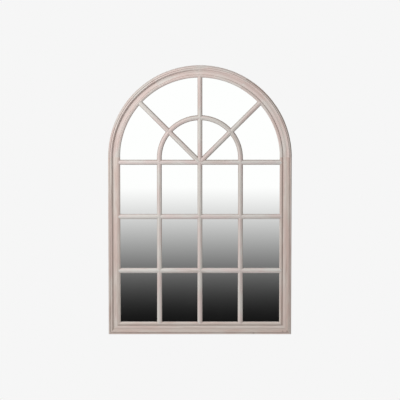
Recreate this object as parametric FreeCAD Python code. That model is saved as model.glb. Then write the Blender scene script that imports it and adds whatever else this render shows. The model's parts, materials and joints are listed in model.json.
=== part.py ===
import FreeCAD
import Part
import math
import os
from FreeCAD import Vector

# An arched window mirror. A moulded wooden frame with a round head carries glazing bars laid out
# as a fanlight over three rows of panes. One arched mirror sheet lies behind the bars, held by a
# screwed back panel, and a pair of ring hangers on the back takes the wall hooks.
# X runs to the right, Z up and Y back to the wall, in millimetres. The model is laid out with Z
# measured from the bottom edge and h measured forward from the back of the wood, and the finished
# part has its origin on the wall plane, midway between the two points where the hooks bear.

# Overall sizes
overall_width = 800.0
overall_height = 1182.0
frame_face = 52.0
frame_depth = 38.0
wall_gap = 6.0

# Frame moulding, from the outer edge towards the sight edge
back_arris = 1.5
eased_arris = 0.5
outer_round = 5.5
outer_flat = 1.5
quirk_width = 1.9
quirk_depth = 2.4
bead_radius = 3.0
bead_fillet = 1.6
cove_drop = 1.5
cove_radius = 6.5
lip_quirk_width = 0.8
lip_quirk_depth = 0.7
lip_round = 2.7
lip_flat = 1.0

# Ovolo and fillet, the same on the sight edge and on the glazing bars
ovolo_radius = 9.0
ovolo_fillet = 1.0
sight_edge = 4.0

# Mirror, back panel and their rebates
mirror_thickness = 4.0
mirror_overlap = 9.0
mirror_clearance = 1.5
mirror_slack = 0.3
panel_thickness = 4.0
panel_recess = 8.0
panel_ledge = 12.5
panel_clearance = 1.0
setting_pad_length = 40.0
setting_pad_spacing = 360.0

# Glazing bars
bar_width = 21.0
bar_pitch = 177.0
transom_drop = 23.5
hoop_drop = 5.0
cross_bar_count = 2
radial_angle = 45.0
bar_gap = 0.3

# Stub tenons of the bars
tenon_width = 12.0
tenon_thickness = 6.0
tenon_length = 8.0
tenon_setback = 1.7
ring_tenon_length = 5.0
joint_clearance = 0.15
tenon_root = 1.0

# Joints of the frame
arch_segment_count = 3
dowel_diameter = 8.0
dowel_length = 40.0
dowel_insets = (9.0, 23.0)
dowel_height = 18.0
dowel_chamfer = 0.8
biscuit_length = 53.0
biscuit_width = 19.0
biscuit_thickness = 4.0
biscuit_inset = 22.0
biscuit_height = 18.0

# Screws
panel_screw_radius = 1.5
panel_screw_length = 14.0
panel_screw_head_radius = 3.2
panel_screw_head_height = 2.0
hanger_screw_radius = 1.75
hanger_screw_length = 16.0
hanger_screw_head_radius = 3.4
hanger_screw_head_height = 2.0
screw_clearance = 0.1
screw_hole_clearance = 0.3
screw_tip_share = 0.25
screw_point_share = 0.2
screw_head_round = 1.2
recess_width = 0.9
recess_depth = 1.1
recess_span_share = 0.9
stile_screw_count = 4
arch_screw_count = 7
rail_screw_count = 4

# Ring hangers
eye_drop = 52.0
hanger_inset = 15.5
strap_width = 17.0
strap_length = 46.0
strap_thickness = 1.2
strap_hole_offsets = (11.0, 36.0)
ring_wire_radius = 1.5
ring_running_clearance = 0.08
ring_straight = 19.0
ring_corner = 3.0
ring_leg = 5.0

# Wall bumpers
bumper_radius = 8.0
bumper_taper = 1.0
bumper_edge_round = 1.0
bumper_spacing = 660.0

# Places that follow from the sizes
half_width = overall_width / 2
spring_height = overall_height - half_width
panel_seat = panel_recess + panel_thickness
mirror_seat = panel_seat + mirror_slack + mirror_thickness
ovolo_spring = mirror_seat + sight_edge
bar_top = ovolo_spring + ovolo_radius + ovolo_fillet
bar_seat = mirror_seat + bar_gap
halving_height = (bar_seat + bar_top) / 2
sight_half = half_width - frame_face
lip_crest_inset = frame_face - ovolo_radius - eased_arris / 2
bar_reach = half_width - lip_crest_inset
mirror_wall_inset = frame_face - mirror_overlap - mirror_clearance
panel_wall_inset = mirror_wall_inset - panel_ledge
panel_screw_inset = mirror_wall_inset - panel_ledge / 2
transom_height = spring_height - transom_drop
hoop_height = spring_height - hoop_drop
pane_rows = cross_bar_count + 1
pane_height = (transom_height - bar_width / 2 - frame_face - cross_bar_count * bar_width) / pane_rows
ring_bow = ring_straight / 2 + ring_corner
knuckle_bore = ring_wire_radius + ring_running_clearance
knuckle_depth = strap_thickness + knuckle_bore
eye_height = spring_height - eye_drop
knuckle_height = eye_height - (ring_corner + ring_leg + ring_bow - ring_wire_radius)
back_axis = Vector(0, 1, 0)
reach_margin = 5.0


def at(x, h, z):
    # A point x to the right, h forward from the back of the wood and z above the bottom edge
    return Vector(x, -(wall_gap + h), z)


arch_centre = at(0, 0, spring_height)


class Outline:
    # A closed outline of straight and round stretches in two coordinates, put in place by a function

    def __init__(self, place, start):
        self.place = place
        self.start = start
        self.here = start
        self.edges = []

    def line(self, *point):
        self.edges.append(Part.LineSegment(self.place(*self.here), self.place(*point)).toShape())
        self.here = point
        return self

    def arc(self, via, point):
        self.edges.append(Part.Arc(self.place(*self.here), self.place(*via), self.place(*point)).toShape())
        self.here = point
        return self

    def quarter(self, centre, point):
        radius = math.dist(self.here, centre)
        chord = [(p + q) / 2 - c for p, q, c in zip(self.here, point, centre)]
        length = math.hypot(*chord)
        via = [c + radius * d / length for c, d in zip(centre, chord)]
        return self.arc(via, point)

    def turn(self, corner, onward):
        # A straight run to a square corner, eased on the way to another point
        back = [eased_arris * (p - c) / math.dist(self.here, corner) for p, c in zip(self.here, corner)]
        out = [eased_arris * (p - c) / math.dist(onward, corner) for p, c in zip(onward, corner)]
        self.line(*[c + b for c, b in zip(corner, back)])
        centre = [c + b + o for c, b, o in zip(corner, back, out)]
        return self.quarter(centre, [c + o for c, o in zip(corner, out)])

    def face(self):
        self.line(*self.start)
        return Part.Face(Part.Wire(self.edges))


def frame_section(place):
    # The moulding: inset is measured from the outer edge, height from the back of the wood
    bead_start = outer_round + outer_flat + quirk_width
    bead_end = bead_start + 2 * bead_radius
    bead_base = frame_depth - bead_radius
    quirk_base = frame_depth - quirk_depth
    bead_foot = bead_start + bead_radius - math.sqrt(bead_radius ** 2 - (bead_radius - quirk_depth) ** 2)
    cove_start = bead_end + bead_fillet
    cove_top = bead_base - cove_drop
    band_start = cove_start + cove_radius
    band_height = cove_top - cove_radius
    crest_end = frame_face - ovolo_radius
    lip_side = crest_end - lip_flat - lip_round
    quirk_side = lip_side - lip_quirk_width
    quirk_floor = band_height - lip_quirk_depth
    outline = Outline(place, (back_arris, 0))
    outline.line(0, back_arris)
    outline.line(0, frame_depth - outer_round)
    outline.quarter((outer_round, frame_depth - outer_round), (outer_round, frame_depth))
    outline.turn((outer_round + outer_flat, frame_depth), (outer_round + outer_flat, quirk_base))
    outline.line(outer_round + outer_flat, quirk_base)
    outline.line(bead_foot, quirk_base)
    outline.arc((bead_start + bead_radius, frame_depth), (bead_end, bead_base))
    outline.turn((cove_start, bead_base), (cove_start, cove_top))
    outline.line(cove_start, cove_top)
    outline.quarter((band_start, cove_top), (band_start, band_height))
    outline.turn((quirk_side, band_height), (quirk_side, quirk_floor))
    outline.line(quirk_side, quirk_floor)
    outline.line(lip_side, quirk_floor)
    outline.line(lip_side, bar_top - lip_round)
    outline.quarter((lip_side + lip_round, bar_top - lip_round), (lip_side + lip_round, bar_top))
    outline.turn((crest_end, bar_top), (crest_end, bar_top - ovolo_fillet))
    outline.line(crest_end, bar_top - ovolo_fillet)
    outline.quarter((crest_end, ovolo_spring), (frame_face, ovolo_spring))
    outline.line(frame_face, mirror_seat)
    outline.line(mirror_wall_inset, mirror_seat)
    outline.line(mirror_wall_inset, panel_seat)
    outline.line(panel_wall_inset, panel_seat)
    outline.line(panel_wall_inset, 0)
    return outline.face()


def bar_section(place):
    # A sash bar: a square base and two ovolos that leave a narrow flat on top
    side = bar_width / 2
    flat = side - ovolo_radius
    outline = Outline(place, (-side, bar_seat))
    outline.line(side, bar_seat)
    outline.line(side, ovolo_spring)
    outline.quarter((flat, ovolo_spring), (flat, ovolo_spring + ovolo_radius))
    outline.turn((flat, bar_top), (-flat, bar_top))
    outline.turn((-flat, bar_top), (-flat, ovolo_spring + ovolo_radius))
    outline.line(-flat, ovolo_spring + ovolo_radius)
    outline.quarter((-flat, ovolo_spring), (-side, ovolo_spring))
    return outline.face()


def prism(corners, low, high):
    # An upright block over (x, z) corners, between two heights above the back of the wood
    points = [at(x, low, z) for x, z in corners]
    face = Part.Face(Part.makePolygon(points + points[:1]))
    return face.extrude(Vector(0, low - high, 0))


def directed_box(point, angle, start, end, width, low, high):
    # A block along a direction in the face of the frame, angle in degrees from +X towards +Z
    along = (math.cos(math.radians(angle)), math.sin(math.radians(angle)))
    corners = []
    for distance, offset in ((start, -1), (end, -1), (end, 1), (start, 1)):
        side = offset * width / 2
        corners.append((
            point[0] + distance * along[0] - side * along[1],
            point[1] + distance * along[1] + side * along[0],
        ))
    return prism(corners, low, high)


def spread(start, end, count):
    # Middles of equal steps between two values
    step = (end - start) / count
    return [start + (index + 0.5) * step for index in range(count)]


def arch_turn(shape, degrees):
    # Turns a shape about the centre of the arch, from the left springing over the crown
    turned = shape.copy()
    turned.rotate(arch_centre, back_axis, degrees)
    return turned


# Frame members


def make_stile(side):
    section = frame_section(lambda inset, h: at(side * (half_width - inset), h, 0))
    stile = section.extrude(Vector(0, 0, spring_height))
    outer = side * half_width
    inner = side * sight_half
    waste = prism([(outer, 0), (inner, 0), (inner, frame_face)], -reach_margin, frame_depth + reach_margin)
    return stile.cut(waste)


def make_bottom_rail():
    section = frame_section(lambda inset, h: at(-half_width, h, inset))
    rail = section.extrude(Vector(overall_width, 0, 0))
    for side in (-1, 1):
        outer = side * half_width
        inner = side * sight_half
        corners = [(outer, 0), (inner, frame_face), (outer, frame_face)]
        rail = rail.cut(prism(corners, -reach_margin, frame_depth + reach_margin))
    return rail


def make_arch_segments():
    section = frame_section(lambda inset, h: at(inset - half_width, h, spring_height))
    step = 180.0 / arch_segment_count
    first = section.revolve(arch_centre, back_axis, step)
    return [arch_turn(first, index * step) for index in range(arch_segment_count)]


def make_arch_dowels(radius, length):
    # Two dowels across each joint of the arch, the springings included
    dowels = []
    for joint in range(arch_segment_count + 1):
        angle = 180.0 * joint / arch_segment_count
        for inset in dowel_insets:
            foot = at(inset - half_width, dowel_height, spring_height - length / 2)
            dowel = Part.makeCylinder(radius, length, foot, Vector(0, 0, 1))
            dowels.append(arch_turn(dowel, angle))
    return dowels


def make_corner_biscuits(clearance):
    # A flat oval key across each bottom mitre, in the plane of the frame
    reach = biscuit_length / 2 + clearance
    bulge = biscuit_width / 2 + clearance
    low = biscuit_height - biscuit_thickness / 2 - clearance
    high = biscuit_height + biscuit_thickness / 2 + clearance
    slant = math.sqrt(0.5)
    biscuits = []
    for side in (-1, 1):
        middle = (side * (half_width - biscuit_inset), biscuit_inset)

        def place(along, across):
            x = middle[0] - side * slant * (along - across)
            z = middle[1] + slant * (along + across)
            return at(x, low, z)

        outline = Outline(place, (-reach, 0))
        outline.arc((0, bulge), (reach, 0)).arc((0, -bulge), (-reach, 0))
        face = Part.Face(Part.Wire(outline.edges))
        biscuits.append(face.extrude(Vector(0, low - high, 0)))
    return biscuits


def make_frame():
    names = ("arch_left", "arch_crown", "arch_right")
    frame = {"left_stile": make_stile(-1), "right_stile": make_stile(1), "bottom_rail": make_bottom_rail()}
    for index, segment in enumerate(make_arch_segments()):
        name = names[index] if arch_segment_count == len(names) else f"arch_segment_{index + 1}"
        frame[name] = segment
    return frame


# Glazing bars


def make_straight_bar(start, end):
    run = (end[0] - start[0], end[1] - start[1])
    length = math.hypot(*run)
    across = (-run[1] / length, run[0] / length)
    section = bar_section(lambda u, h: at(start[0] + u * across[0], h, start[1] + u * across[1]))
    return section.extrude(Vector(run[0], 0, run[1]))


def make_ring_bar(side):
    # A quarter of the half hoop, from the springing to the centre upright
    section = bar_section(lambda u, h: at(side * bar_pitch + u, h, hoop_height))
    return section.revolve(at(0, 0, hoop_height), back_axis, -90.0 * side)


def along_radial(radius):
    # The point of the left radial that lies at this radius from the centre of the arch
    angle = math.radians(radial_angle)
    rise = transom_drop * math.sin(angle)
    travel = rise + math.sqrt(rise ** 2 + radius ** 2 - transom_drop ** 2)
    return (-travel * math.cos(angle), transom_height + travel * math.sin(angle))


def mirrored(point, side):
    return (-side * point[0], point[1])


def cross_bar_height(row):
    return frame_face + row * (pane_height + bar_width) - bar_width / 2


def make_raw_bars():
    hub = (0, transom_height)
    floor = lip_crest_inset
    bars = {
        "transom_bar": make_straight_bar((-bar_reach, transom_height), (bar_reach, transom_height)),
        "centre_upright": make_straight_bar((0, floor), (0, spring_height + bar_reach)),
        "left_upright": make_straight_bar((-bar_pitch, floor), (-bar_pitch, hoop_height)),
        "right_upright": make_straight_bar((bar_pitch, floor), (bar_pitch, hoop_height)),
        "left_radial_bar": make_straight_bar(hub, along_radial(bar_reach)),
        "right_radial_bar": make_straight_bar(hub, mirrored(along_radial(bar_reach), 1)),
        "left_ring_bar": make_ring_bar(-1),
        "right_ring_bar": make_ring_bar(1),
    }
    for row in range(1, pane_rows):
        height = cross_bar_height(row)
        bars[cross_bar_name(row)] = make_straight_bar((-bar_reach, height), (bar_reach, height))
    return bars


def cross_bar_name(row):
    names = ("lower_cross_bar", "upper_cross_bar")
    return names[row - 1] if row <= len(names) else f"cross_bar_{row}"


def halve(bars, over, under):
    # A cross halving: the under bar runs through below the halving plane, the over bar above it
    size = 2 * (overall_width + overall_height)
    corners = [(-size, -size), (size, -size), (size, size), (-size, size)]
    below = bars[under].common(prism(corners, -reach_margin, halving_height))
    above = bars[over].common(prism(corners, halving_height, frame_depth + reach_margin))
    bars[over] = bars[over].cut(below)
    bars[under] = bars[under].cut(above)


def join_bars(bars, frame):
    # Copes the bars over the sight edge, butts the fan into its hub and halves the crossings
    uprights = ("left_upright", "centre_upright", "right_upright")
    sides = ("left", "right")
    for name in bars:
        bars[name] = bars[name].cut(frame)
    for side in sides:
        for hub in ("transom_bar", "centre_upright"):
            bars[side + "_radial_bar"] = bars[side + "_radial_bar"].cut(bars[hub])
        bars[side + "_ring_bar"] = bars[side + "_ring_bar"].cut(bars["centre_upright"])
    for side in sides:
        halve(bars, side + "_ring_bar", side + "_radial_bar")
    for level in ["transom_bar"] + [cross_bar_name(row) for row in range(1, pane_rows)]:
        for upright in uprights:
            halve(bars, level, upright)


def tenon_list():
    # Each stub tenon: its bar, what it goes into, its shoulder, its direction and its length
    levels = {"transom_bar": transom_height}
    for row in range(1, pane_rows):
        levels[cross_bar_name(row)] = cross_bar_height(row)
    tenons = []
    for side, word in ((-1, "left"), (1, "right")):
        outward = 90 - 90 * side
        for level, height in levels.items():
            tenons.append((level, word + "_stile", (side * sight_half, height), outward, tenon_length))
        upright = word + "_upright"
        ring = word + "_ring_bar"
        radial_end = mirrored(along_radial(sight_half), side)
        tenons.append((upright, "bottom_rail", (side * bar_pitch, frame_face), -90, tenon_length))
        tenons.append((upright, ring, (side * bar_pitch, hoop_height), 90, tenon_length))
        tenons.append((word + "_radial_bar", "arch", radial_end, 90 - side * (90 - radial_angle), tenon_length))
        ring_top = (side * bar_width / 2, hoop_height + bar_pitch)
        tenons.append((ring, "centre_upright", ring_top, 90 + 90 * side, ring_tenon_length))
    tenons.append(("centre_upright", "bottom_rail", (0, frame_face), -90, tenon_length))
    tenons.append(("centre_upright", "arch", (0, spring_height + sight_half), 90, tenon_length))
    return tenons


def cut_tenons(bars, frame):
    low = bar_seat + tenon_setback
    high = low + tenon_thickness
    gap = joint_clearance
    for bar, socket, shoulder, angle, length in tenon_list():
        tenon = directed_box(shoulder, angle, -tenon_root, length, tenon_width, low, high)
        bars[bar] = bars[bar].fuse(tenon).removeSplitter()
        mortise = directed_box(
            shoulder, angle, -tenon_root, length + gap, tenon_width + 2 * gap, low - gap, high + gap)
        if socket in bars:
            bars[socket] = bars[socket].cut(mortise)
        for name in frame:
            if name == socket or (socket == "arch" and name.startswith("arch")):
                frame[name] = frame[name].cut(mortise)


# Mirror and back panel


def make_arched_sheet(inset, low, high):
    # A flat sheet with a round head, its edge at this distance in from the outer edge of the frame
    half = half_width - inset
    outline = Outline(lambda x, z: at(x, low, z), (-half, inset))
    outline.line(half, inset).line(half, spring_height)
    outline.arc((0, spring_height + half), (-half, spring_height))
    return outline.face().extrude(Vector(0, low - high, 0))


def make_setting_pads():
    # Two pads in the bottom of the rebate that the mirror stands on
    top = mirror_wall_inset + mirror_clearance
    low = panel_seat + mirror_slack
    pads = []
    for side in (-1, 1):
        left = side * setting_pad_spacing / 2 - setting_pad_length / 2
        right = left + setting_pad_length
        corners = [(left, mirror_wall_inset), (right, mirror_wall_inset), (right, top), (left, top)]
        pads.append(prism(corners, low, mirror_seat))
    return pads


# Screws


def make_screw(place, radius, length, head_radius, head_height):
    # A pan head screw driven forward from its seat, with a plain shank, a point and a cross recess
    seat = place.y
    tip = length * screw_tip_share
    crown = head_radius - screw_head_round
    brow = head_height - screw_head_round

    def on_axis(r, forward):
        return Vector(place.x + r, seat - forward, place.z)

    outline = Outline(on_axis, (0, length))
    outline.line(radius * screw_point_share, length)
    outline.line(radius, length - tip).line(radius, 0).line(head_radius, 0)
    outline.line(head_radius, -brow).quarter((crown, -brow), (crown, -head_height)).line(0, -head_height)
    screw = outline.face().revolve(place, back_axis, 360)
    span = 2 * crown * recess_span_share
    for width, height in ((span, recess_width), (recess_width, span)):
        corner = Vector(place.x - width / 2, seat + head_height - recess_depth, place.z - height / 2)
        screw = screw.cut(Part.makeBox(width, recess_depth, height, corner))
    return screw


def shank_holes(places, radius, length):
    # Round holes for the shanks, from well behind the seat to just past the point
    holes = []
    for place in places:
        start = place + Vector(0, reach_margin, 0)
        holes.append(Part.makeCylinder(radius, length + reach_margin, start, Vector(0, -1, 0)))
    return Part.Compound(holes)


def panel_screw_places():
    half = half_width - panel_screw_inset
    places = [at(x, panel_recess, panel_screw_inset) for x in spread(-half, half, rail_screw_count)]
    for side in (-1, 1):
        for z in spread(panel_screw_inset, spring_height, stile_screw_count):
            places.append(at(side * half, panel_recess, z))
    for angle in spread(0, math.pi, arch_screw_count):
        places.append(at(half * math.cos(angle), panel_recess, spring_height + half * math.sin(angle)))
    return places


# Hangers and bumpers


def hanger_x(side):
    return side * (half_width - hanger_inset)


def hanger_screw_places(side):
    return [at(hanger_x(side), -strap_thickness, knuckle_height - offset) for offset in strap_hole_offsets]


def make_hanger_strap(side):
    # A steel strap with a round foot, rolled into a knuckle at its top
    x = hanger_x(side)
    half = strap_width / 2
    foot = knuckle_height - strap_length + half
    outline = Outline(lambda u, z: at(x + u, 0, z), (-half, knuckle_height))
    outline.line(-half, foot).arc((0, foot - half), (half, foot)).line(half, knuckle_height)
    plate = outline.face().extrude(Vector(0, strap_thickness, 0))
    barrel_end = at(x - half, -knuckle_depth, knuckle_height)
    barrel = Part.makeCylinder(knuckle_depth, strap_width, barrel_end, Vector(1, 0, 0))
    bore = Part.makeCylinder(knuckle_bore, strap_width, barrel_end, Vector(1, 0, 0))
    strap = plate.fuse(barrel).cut(bore)
    holes = shank_holes(hanger_screw_places(side), hanger_screw_radius + screw_hole_clearance, reach_margin)
    return strap.cut(holes).removeSplitter()


def make_hanger_ring(side):
    # A D of round wire whose straight side turns in the knuckle, standing up as it hangs on a hook
    x = hanger_x(side)
    half = ring_straight / 2
    shoulder = ring_corner + ring_leg

    def place(u, z):
        return at(x + u, -knuckle_depth, knuckle_height + z)

    outline = Outline(place, (0, 0))
    outline.line(half, 0).quarter((half, ring_corner), (ring_bow, ring_corner))
    outline.line(ring_bow, shoulder).arc((0, shoulder + ring_bow), (-ring_bow, shoulder))
    outline.line(-ring_bow, ring_corner).quarter((-half, ring_corner), (-half, 0)).line(0, 0)
    wire = Part.Wire(Part.makeCircle(ring_wire_radius, place(0, 0), Vector(1, 0, 0)))
    return Part.Wire(outline.edges).makePipeShell([wire], True, False)


def make_bumpers():
    # Tapered pads on the back of the bottom rail that keep the frame off the wall
    bumpers = []
    for side in (-1, 1):
        foot = at(side * bumper_spacing / 2, 0, panel_wall_inset / 2)
        bumper = Part.makeCone(bumper_radius, bumper_radius - bumper_taper, wall_gap, foot, back_axis)
        rim = [edge for edge in bumper.Edges if edge.Closed and edge.CenterOfMass.y > -wall_gap / 2]
        bumpers.append(bumper.makeFillet(bumper_edge_round, rim))
    return bumpers


# Bores, screws in place and the whole assembly


def bore_frame(frame):
    # Dowel holes, biscuit slots and pilot holes
    gap = joint_clearance
    holes = [
        Part.Compound(make_arch_dowels(dowel_diameter / 2 + gap, dowel_length + 2 * gap)),
        Part.Compound(make_corner_biscuits(gap)),
        shank_holes(panel_screw_places(), panel_screw_radius + screw_clearance, panel_screw_length),
    ]
    for side in (-1, 1):
        pilot = hanger_screw_radius + screw_clearance
        holes.append(shank_holes(hanger_screw_places(side), pilot, hanger_screw_length))
    for name in frame:
        for hole in holes:
            frame[name] = frame[name].cut(hole)


def make_hanger_screws():
    screws = []
    for side in (-1, 1):
        for place in hanger_screw_places(side):
            screws.append(make_screw(
                place, hanger_screw_radius, hanger_screw_length,
                hanger_screw_head_radius, hanger_screw_head_height))
    return screws


def make_panel_screws():
    return [
        make_screw(
            place, panel_screw_radius, panel_screw_length,
            panel_screw_head_radius, panel_screw_head_height)
        for place in panel_screw_places()
    ]


def make_back_panel():
    panel = make_arched_sheet(panel_wall_inset + panel_clearance, panel_recess, panel_seat)
    holes = shank_holes(
        panel_screw_places(), panel_screw_radius + screw_hole_clearance, panel_thickness + reach_margin)
    return panel.cut(holes)


def chamfered_dowels():
    dowels = make_arch_dowels(dowel_diameter / 2, dowel_length)
    return [dowel.makeChamfer(dowel_chamfer, [e for e in dowel.Edges if e.Closed]) for dowel in dowels]


def make_nodes():
    frame = make_frame()
    whole_frame = Part.Compound(list(frame.values()))
    bars = make_raw_bars()
    join_bars(bars, whole_frame)
    cut_tenons(bars, frame)
    bore_frame(frame)
    nodes = {name: [shape] for name, shape in {**frame, **bars}.items()}
    nodes["arch_dowels"] = chamfered_dowels()
    nodes["corner_biscuits"] = make_corner_biscuits(0)
    nodes["mirror_sheet"] = [make_arched_sheet(
        frame_face - mirror_overlap, panel_seat + mirror_slack, mirror_seat)]
    nodes["setting_pads"] = make_setting_pads()
    nodes["back_panel"] = [make_back_panel()]
    nodes["panel_screws"] = make_panel_screws()
    for side, word in ((-1, "left"), (1, "right")):
        nodes[word + "_hanger_strap"] = [make_hanger_strap(side)]
        nodes[word + "_hanger_ring"] = [make_hanger_ring(side)]
    nodes["hanger_screws"] = make_hanger_screws()
    nodes["wall_bumpers"] = make_bumpers()
    return nodes


def export(nodes):
    os.makedirs("parts", exist_ok=True)
    for name, shapes in nodes.items():
        solids = [solid for shape in shapes for solid in shape.Solids]
        node = Part.Compound(solids) if len(solids) > 1 else solids[0]
        node.translate(Vector(0, 0, -eye_height))
        node.exportStep(f"parts/{name}.step")
        valid = all(solid.isValid() for solid in solids)
        volume = sum(solid.Volume for solid in solids) / 1000
        print(f"{name}: {len(solids)} solids, valid {valid}, {volume:.1f} cm3")


export(make_nodes())
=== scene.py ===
import json
import math

import bmesh
import bpy
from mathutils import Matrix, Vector

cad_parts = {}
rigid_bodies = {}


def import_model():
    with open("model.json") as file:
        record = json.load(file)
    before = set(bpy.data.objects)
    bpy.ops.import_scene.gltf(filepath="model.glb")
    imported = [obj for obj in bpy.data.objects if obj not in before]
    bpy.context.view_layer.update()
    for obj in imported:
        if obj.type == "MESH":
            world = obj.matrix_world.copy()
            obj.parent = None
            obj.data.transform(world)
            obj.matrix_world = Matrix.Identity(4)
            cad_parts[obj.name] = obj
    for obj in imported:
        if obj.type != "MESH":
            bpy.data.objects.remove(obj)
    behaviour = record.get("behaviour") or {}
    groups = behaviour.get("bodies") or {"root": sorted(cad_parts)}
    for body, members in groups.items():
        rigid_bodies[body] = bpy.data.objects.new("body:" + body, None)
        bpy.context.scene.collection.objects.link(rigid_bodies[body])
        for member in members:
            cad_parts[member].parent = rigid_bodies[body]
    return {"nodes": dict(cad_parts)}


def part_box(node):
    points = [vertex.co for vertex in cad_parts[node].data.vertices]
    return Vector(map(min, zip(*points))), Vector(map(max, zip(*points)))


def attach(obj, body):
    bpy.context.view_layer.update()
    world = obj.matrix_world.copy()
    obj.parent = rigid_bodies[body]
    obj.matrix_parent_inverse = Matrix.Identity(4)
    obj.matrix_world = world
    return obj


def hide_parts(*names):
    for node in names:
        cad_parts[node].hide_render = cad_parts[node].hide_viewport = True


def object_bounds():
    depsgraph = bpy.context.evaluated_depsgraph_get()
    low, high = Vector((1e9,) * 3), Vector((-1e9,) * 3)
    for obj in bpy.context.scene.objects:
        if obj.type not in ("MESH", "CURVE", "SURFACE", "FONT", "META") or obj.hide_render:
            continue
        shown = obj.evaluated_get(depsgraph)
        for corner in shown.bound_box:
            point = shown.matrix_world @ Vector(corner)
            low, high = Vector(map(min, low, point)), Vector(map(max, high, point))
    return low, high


# Arched window mirror in limewashed wood, hung in a plain pale studio.

for leftover in list(bpy.data.objects):
    bpy.data.objects.remove(leftover)

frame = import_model()
cadLow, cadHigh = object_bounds()
nodes = frame["nodes"]
print("frame loaded:", len(nodes), "pieces")

mm = 0.001
middle = (cadLow + cadHigh) / 2
halfWidth = (cadHigh.x - cadLow.x) / 2
archCentreZ = cadHigh.z - halfWidth  # the head is a half circle on the full width
fan = {"hoopDrop": 5 * mm, "barWidth": 21 * mm}  # the small half hoop springs a little lower
hoopCentreZ = archCentreZ - fan["hoopDrop"]


def linearColour(hexCode):
    channels = [int(hexCode[i:i + 2], 16) / 255 for i in (1, 3, 5)]
    return [c / 12.92 if c <= 0.04045 else ((c + 0.055) / 1.055) ** 2.4 for c in channels] + [1.0]


def addNode(tree, kind, settings=None, **sockets):
    # settings are the node's own options, sockets are values or links by socket name or iNUMBER
    node = tree.nodes.new(kind)
    for name, value in (settings or {}).items():
        setattr(node, name, value)
    for name, value in sockets.items():
        key = int(name[1:]) if name[0] == "i" and name[1:].isdigit() else name.replace("_", " ")
        if isinstance(value, bpy.types.NodeSocket):
            tree.links.new(value, node.inputs[key])
        elif isinstance(value, str) and value.startswith("#"):
            node.inputs[key].default_value = linearColour(value)
        else:
            node.inputs[key].default_value = value
    return node


def newMaterial(name):
    material = bpy.data.materials.new(name)
    material.use_nodes = True
    tree = material.node_tree
    tree.nodes.clear()
    output = tree.nodes.new("ShaderNodeOutputMaterial")
    return material, tree, output.inputs["Surface"]


def wear(piece, material):
    piece.data.materials.clear()
    piece.data.materials.append(material)


def newTree(name, inputs):
    tree = bpy.data.node_groups.new(name, "GeometryNodeTree")
    tree.interface.new_socket("Geometry", in_out="INPUT", socket_type="NodeSocketGeometry")
    for label, kind in inputs.items():
        tree.interface.new_socket(label, in_out="INPUT", socket_type="NodeSocket" + kind)
    tree.interface.new_socket("Geometry", in_out="OUTPUT", socket_type="NodeSocketGeometry")
    entry = tree.nodes.new("NodeGroupInput")
    output = tree.nodes.new("NodeGroupOutput")
    return tree, entry.outputs, output.inputs[0]


def grow(name, tree, seedMesh, sizes):
    # runs a tree on a start mesh and keeps the result as a plain mesh that faces outwards
    piece = bpy.data.objects.new(name, seedMesh)
    bpy.context.scene.collection.objects.link(piece)
    modifier = piece.modifiers.new("shape", "NODES")
    modifier.node_group = tree
    for socket in tree.interface.items_tree:
        if socket.in_out == "INPUT" and socket.name in sizes:
            modifier[socket.identifier] = sizes[socket.name]
    grown = bpy.data.meshes.new_from_object(piece.evaluated_get(bpy.context.evaluated_depsgraph_get()))
    piece.modifiers.remove(modifier)
    piece.data = grown
    grown.name = name
    shell = bmesh.new()
    shell.from_mesh(grown)
    bmesh.ops.recalc_face_normals(shell, faces=shell.faces)
    shell.to_mesh(grown)
    shell.free()
    return piece


# Limewashed pine: a thin chalky wash dragged along each member. The eye gets soft streaks from pink
# to grey, brown painted shade in the recesses, in lines along the moulding and on the bars' flanks,
# with some glaze settled there, and bare timber behind.
limewash = {
    "frameWash": "#e2d7cf",
    "frameBlush": "#ddcac2",
    "archWash": "#e0d9d3",
    "archBlush": "#dfcdc7",
    "crossWash": "#dfdbd6",
    "crossBlush": "#dfd1cd",
    "barWash": "#dbd6d0",
    "barBlush": "#dbcbc6",
    "chalk": "#d3cec6",
    "bare": "#c0ada1",
    # brown for painted shade, partly glaze, and for the knocks
    "shadeGlazeAndKnocks": "#765f4f",
    "timber": "#c3a27c",
    "streakLength": 160 * mm,
    "streakWidth": 9 * mm,  # wider than the brush marks, to show at this size
    "grainLength": 60 * mm,
    "grainWidth": 2.2 * mm,  # coarser than pine grain, to show at this size
    "blotchLength": 140 * mm,
    "blotchWidth": 35 * mm,
    # reach and samples of the ambient occlusion that paints shade into the recesses, standing also for
    # glaze settled there
    "recessShadeReach": 7 * mm,
    "recessShadeSamples": 16,
    # where each layer starts and where it is full, on its own pattern
    "washSpan": (0.42, 0.58),
    "chalkSpan": (0.42, 0.2),
    "bareStreakSpan": (0.55, 0.85),
    "bareGrainSpan": (0.62, 0.9),
    # painted shade in the recesses, from the ambient occlusion
    "recessShadeSpan": (0.7, 0.2),
    "backSpan": (0.6, 0.75),
    "timberSpan": (0.3, 0.75),
    "bump": 0.25,
    "grainRelief": 0.3 * mm,
    "streakRelief": 0.5 * mm,
    "dullest": 0.74,
    "glossiest": 0.58,
    # sets the pattern of each member apart
    "barShift": 3.7,
    "frameStart": 50,
    "frameShift": 2.9,
}
# lines of painted shade across the frame moulding, with some glaze in them, measured in from the outer
# edge
shadeAndGlazeLines = {
    "outerEdge": {"inset": 2 * mm, "reach": 5 * mm},
    "outerQuirk": {"inset": 7.5 * mm, "reach": 4 * mm},
    "bead": {"inset": 14.5 * mm, "reach": 5 * mm},
    "cove": {"inset": 21 * mm, "reach": 6 * mm},
    "band": {"inset": 25.5 * mm, "reach": 4.5 * mm},
    "lipQuirk": {"inset": 41 * mm, "reach": 4 * mm},
    "lip": {"inset": 46 * mm, "reach": 6.5 * mm},
}
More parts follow.
